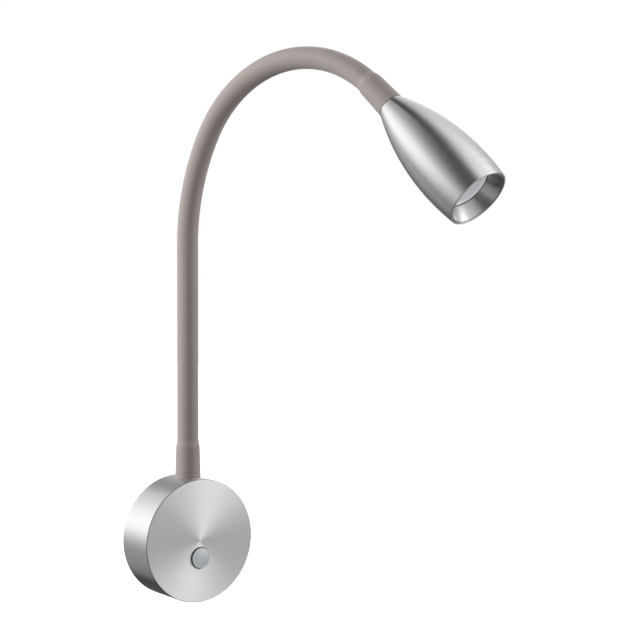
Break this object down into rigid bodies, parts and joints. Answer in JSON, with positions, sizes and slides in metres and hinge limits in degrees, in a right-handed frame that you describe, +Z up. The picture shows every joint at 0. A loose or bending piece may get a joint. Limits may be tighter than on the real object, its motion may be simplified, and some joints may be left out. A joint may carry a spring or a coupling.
{
  "type": "gooseneck wall light",
  "caption": "Small wall reading light: round brushed-metal wall drum with a push button, a sleeved gooseneck arm and a bullet-shaped lamp head with a frosted lens.",
  "frame": {"origin": "centre of the wall plate's two screw slots, on the wall's surface", "axes": "+Y into the wall, +Z up, +X to the right of someone who faces the wall"},
  "size_m": [0.1164, 0.2428, 0.352],
  "materials": {
    "brushed_metal": "brushed",
    "zinc_steel": "satin",
    "conduit_steel": "satin",
    "sleeve_silicone": "matte",
    "heat_sink_aluminium": "turned",
    "brass": "satin",
    "white_plastic": "matte",
    "black_plastic": "matte",
    "black_rubber": "matte",
    "board_green": "satin",
    "board_white": "white solder mask",
    "coil_yellow": "matte",
    "can_blue": "sleeved",
    "emitter_yellow": "satin",
    "lens_frosted": "frosted",
    "lead_supply": "satin",
    "lead_switch": "satin",
    "lead_earth": "satin",
    "lead_lamp": "satin"
  },
  "bodies": {
    "wall_base": {"arm_lead": "lead_lamp", "arm_nipple": "zinc_steel", "arm_nut": "zinc_steel", "arm_washer": "zinc_steel", "base_ferrule": "zinc_steel", "base_housing": "brushed_metal", "block_screws": "zinc_steel", "cable_grommet": "black_rubber", "core_link_1": "conduit_steel", "driver_board": "board_green", "driver_capacitors": "can_blue", "driver_case": "white_plastic", "driver_chips": "black_plastic", "driver_lid": "white_plastic", "driver_screws": "zinc_steel", "driver_transformer": "coil_yellow", "earth_lead": "lead_earth", "earth_lug": "brass", "earth_screw": "zinc_steel", "housing_screw": "zinc_steel", "sleeve_1": "sleeve_silicone", "supply_leads": "lead_supply", "switch_body": "black_plastic", "switch_leads": "lead_switch", "switch_screws": "zinc_steel", "switch_tags": "brass", "terminal_block": "white_plastic", "terminal_screws": "brass", "wall_plate": "zinc_steel"},
    "button": {"button_cap": "brushed_metal", "button_stem": "black_plastic", "button_spring": "zinc_steel"},
    "arm_1": {"core_link_2": "conduit_steel", "sleeve_2": "sleeve_silicone"},
    "arm_2": {"core_link_3": "conduit_steel", "sleeve_3": "sleeve_silicone"},
    "arm_3": {"core_link_4": "conduit_steel", "sleeve_4": "sleeve_silicone"},
    "arm_4": {"core_link_5": "conduit_steel", "sleeve_5": "sleeve_silicone"},
    "arm_5": {"core_link_6": "conduit_steel", "sleeve_6": "sleeve_silicone"},
    "arm_6": {"core_link_7": "conduit_steel", "sleeve_7": "sleeve_silicone"},
    "arm_7": {"core_link_8": "conduit_steel", "sleeve_8": "sleeve_silicone"},
    "lamp_head": {"core_link_9": "conduit_steel", "sleeve_9": "sleeve_silicone", "head_ferrule": "zinc_steel", "head_stem": "zinc_steel", "head_nut": "zinc_steel", "head_shell": "brushed_metal", "heat_sink": "heat_sink_aluminium", "led_board": "board_white", "led_chip": "emitter_yellow", "board_screws": "zinc_steel", "lens_holder": "black_plastic", "lens": "lens_frosted", "lens_gasket": "black_rubber", "glare_ring": "brushed_metal"}
  },
  "joints": [
    {"name": "neck_bend_1", "type": "hinge", "parent": "wall_base", "child": "arm_1", "pos_m": [0, -0.015, 0.07864], "axis": [0.9659, 0.2588, 0], "range_deg": [-35, 35], "deforming": ["sleeve_1", "sleeve_2", "arm_lead"]},
    {"name": "neck_sway_1", "type": "hinge", "parent": "arm_1", "child": "arm_2", "pos_m": [0, -0.015, 0.12392], "axis": [-0.2588, 0.9659, 0], "range_deg": [-30, 30], "deforming": ["sleeve_2", "sleeve_3", "arm_lead"]},
    {"name": "neck_bend_2", "type": "hinge", "parent": "arm_2", "child": "arm_3", "pos_m": [0, -0.015, 0.1692], "axis": [0.9659, 0.2588, 0], "range_deg": [-35, 25], "deforming": ["sleeve_3", "sleeve_4", "arm_lead"]},
    {"name": "neck_sway_2", "type": "hinge", "parent": "arm_3", "child": "arm_4", "pos_m": [0.00047, -0.01676, 0.21438], "axis": [-0.2555, 0.9536, 0.1593], "range_deg": [-30, 30], "deforming": ["sleeve_4", "sleeve_5", "arm_lead"]},
    {"name": "neck_bend_3", "type": "hinge", "parent": "arm_4", "child": "arm_5", "pos_m": [0.00412, -0.03039, 0.25721], "axis": [0.9659, 0.2588, 0], "range_deg": [-35, 20], "deforming": ["sleeve_5", "sleeve_6", "arm_lead"]},
    {"name": "neck_sway_3", "type": "hinge", "parent": "arm_5", "child": "arm_6", "pos_m": [0.01175, -0.05885, 0.2909], "axis": [-0.1435, 0.5355, 0.8323], "range_deg": [-30, 30], "deforming": ["sleeve_6", "sleeve_7", "arm_lead"]},
    {"name": "neck_bend_4", "type": "hinge", "parent": "arm_6", "child": "arm_7", "pos_m": [0.02274, -0.09986, 0.30503], "axis": [0.9659, 0.2588, 0], "range_deg": [-35, 20], "deforming": ["sleeve_7", "sleeve_8", "arm_lead"]},
    {"name": "neck_sway_4", "type": "hinge", "parent": "arm_7", "child": "lamp_head", "pos_m": [0.03406, -0.14212, 0.29564], "axis": [0.119, -0.4442, 0.888], "range_deg": [-30, 30], "deforming": ["sleeve_8", "sleeve_9", "arm_lead"]},
    {"name": "button_press", "type": "slide", "parent": "wall_base", "child": "button", "axis": [0, 1, 0], "range_m": [0, 0.0012], "stiffness_N_per_m": 1500, "springref_m": -0.0015, "deforming": ["button_spring"]}
  ]
}
